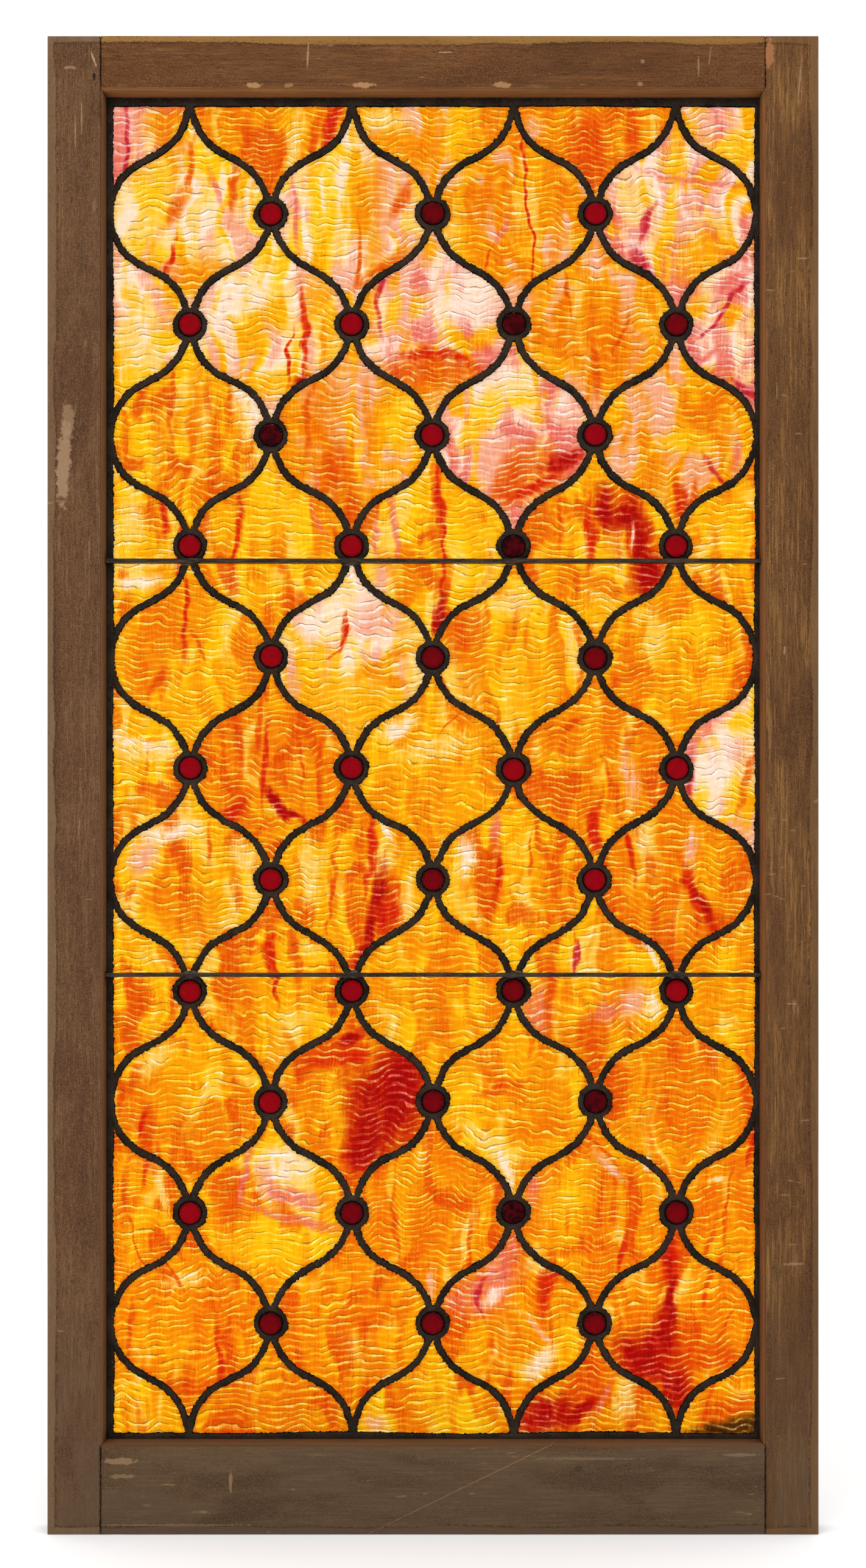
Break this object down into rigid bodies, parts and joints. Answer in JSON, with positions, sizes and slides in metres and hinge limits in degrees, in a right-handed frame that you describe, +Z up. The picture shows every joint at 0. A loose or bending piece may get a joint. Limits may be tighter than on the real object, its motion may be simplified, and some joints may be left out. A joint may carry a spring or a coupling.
{
  "type": "leaded glass window",
  "caption": "Leaded glass window in a moulded wooden sash: ogee tiles of rippled amber glass between curved lead cames, with ruby jewels and steel saddle bars.",
  "frame": {"origin": "middle of the sash's underside, where it rests on a sill", "axes": "+Z up the window, +X to the right seen from the room side, the room side with the saddle bars faces -Y"},
  "size_m": [0.61, 0.035, 1.186],
  "materials": {
    "sash_wood": "old worn varnish, matte",
    "lead": "dark patinated lead",
    "bar_steel": "dark oxidised steel",
    "putty": "aged linseed putty, matte",
    "glass_amber": "rippled streaky amber glass",
    "glass_orange": "rippled streaky deep orange glass",
    "glass_cream": "rippled streaky cream and amber glass",
    "glass_rose": "rippled streaky rose and amber glass",
    "glass_red": "rippled streaky red and amber glass",
    "ruby_glass": "pressed ruby glass, glossy"
  },
  "bodies": {
    "root": {"stile_left": "sash_wood", "stile_right": "sash_wood", "rail_top": "sash_wood", "rail_bottom": "sash_wood", "lead_came": "lead", "saddle_bar_upper": "bar_steel", "saddle_bar_lower": "bar_steel", "glazing_putty": "putty", "glass_row_01_tile_1": "glass_cream", "glass_row_01_tile_2": "glass_rose", "glass_row_01_tile_3": "glass_amber", "glass_row_01_tile_4": "glass_rose", "glass_row_02_half_left": "glass_amber", "glass_row_02_tile_1": "glass_cream", "glass_row_02_tile_2": "glass_rose", "glass_row_02_tile_3": "glass_amber", "glass_row_02_half_right": "glass_rose", "glass_row_03_tile_1": "glass_amber", "glass_row_03_tile_2": "glass_orange", "glass_row_03_tile_3": "glass_rose", "glass_row_03_tile_4": "glass_cream", "glass_row_04_half_left": "glass_amber", "glass_row_04_tile_1": "glass_amber", "glass_row_04_tile_2": "glass_amber", "glass_row_04_tile_3": "glass_red", "glass_row_04_half_right": "glass_amber", "glass_row_05_tile_1": "glass_amber", "glass_row_05_tile_2": "glass_rose", "glass_row_05_tile_3": "glass_amber", "glass_row_05_tile_4": "glass_orange", "glass_row_06_half_left": "glass_cream", "glass_row_06_tile_1": "glass_amber", "glass_row_06_tile_2": "glass_amber", "glass_row_06_tile_3": "glass_amber", "glass_row_06_half_right": "glass_rose", "glass_row_07_tile_1": "glass_cream", "glass_row_07_tile_2": "glass_orange", "glass_row_07_tile_3": "glass_amber", "glass_row_07_tile_4": "glass_amber", "glass_row_08_half_left": "glass_amber", "glass_row_08_tile_1": "glass_amber", "glass_row_08_tile_2": "glass_amber", "glass_row_08_tile_3": "glass_rose", "glass_row_08_half_right": "glass_amber", "glass_row_09_tile_1": "glass_amber", "glass_row_09_tile_2": "glass_red", "glass_row_09_tile_3": "glass_amber", "glass_row_09_tile_4": "glass_amber", "glass_row_10_half_left": "glass_amber", "glass_row_10_tile_1": "glass_rose", "glass_row_10_tile_2": "glass_orange", "glass_row_10_tile_3": "glass_amber", "glass_row_10_half_right": "glass_amber", "glass_row_11_tile_1": "glass_orange", "glass_row_11_tile_2": "glass_amber", "glass_row_11_tile_3": "glass_rose", "glass_row_11_tile_4": "glass_red"}
  },
  "joints": []
}
